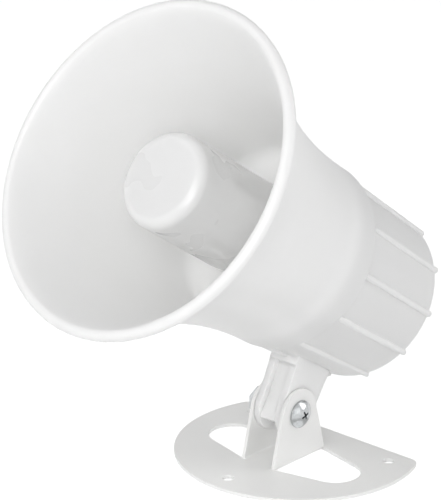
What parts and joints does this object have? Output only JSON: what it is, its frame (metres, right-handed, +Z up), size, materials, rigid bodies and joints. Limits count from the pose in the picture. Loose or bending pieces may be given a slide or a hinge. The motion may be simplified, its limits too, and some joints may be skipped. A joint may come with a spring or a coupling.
{
  "type": "electronic siren",
  "caption": "Electronic siren: white plastic re-entrant horn with a central reflector cup and a ribbed rear housing, tilting on a D-shaped bent steel bracket.",
  "frame": {"origin": "on the mounting face of the bracket plate, straight below the middle of the pivot bolt", "axes": "+X along the pivot bolt towards its head, -Y the way the bell faces, +Z up from the mounting face"},
  "size_m": [0.13, 0.1811, 0.1931],
  "materials": {
    "white_powder_coat": "smooth satin powder coat on sheet steel",
    "bright_zinc": "bright zinc plated steel",
    "spring_steel": "zinc plated spring steel",
    "zinc_nut": "zinc plated steel",
    "white_abs_bell": "satin moulded ABS",
    "white_abs_inner": "satin moulded ABS",
    "white_abs_cup": "satin moulded ABS",
    "white_abs_housing": "satin moulded ABS",
    "zinc_screw": "zinc plated steel",
    "white_abs_cover": "satin moulded ABS",
    "black_rubber": "matt",
    "black_foam_rubber": "closed-cell, matt",
    "black_nylon": "moulded, matt",
    "phenolic_cloth": "resin-stiffened cloth",
    "enamelled_copper": "enamelled copper winding",
    "plated_steel": "zinc plated steel",
    "ferrite": "ground ferrite, matt",
    "green_board": "solder mask over glass epoxy",
    "black_epoxy": "moulded epoxy",
    "capacitor_sleeve": "shrink sleeve over an aluminium can"
  },
  "bodies": {
    "bracket": {"mounting_bracket": "white_powder_coat", "pivot_bolt": "bright_zinc", "lock_washer": "spring_steel", "pivot_nut": "zinc_nut"},
    "horn": {"horn_bell": "white_abs_bell", "throat_tube": "white_abs_inner", "reflector_cup": "white_abs_cup", "rear_housing": "white_abs_housing", "housing_screws": "zinc_screw", "rear_cover": "white_abs_cover", "cover_screws": "zinc_screw", "cable_grommet": "black_rubber", "driver_gasket": "black_foam_rubber", "driver_frame": "black_nylon", "driver_screws": "zinc_screw", "diaphragm": "phenolic_cloth", "voice_coil": "enamelled_copper", "top_plate": "plated_steel", "magnet_ring": "ferrite", "yoke": "plated_steel", "circuit_board": "green_board", "board_screws": "zinc_screw", "tone_chip": "black_epoxy", "capacitor": "capacitor_sleeve", "power_transistors": "black_epoxy"}
  },
  "joints": [
    {"name": "horn_tilt", "type": "hinge", "parent": "bracket", "child": "horn", "pos_m": [0, 0, 0.0208], "axis": [1, 0, 0], "range_deg": [-50, 36]}
  ]
}
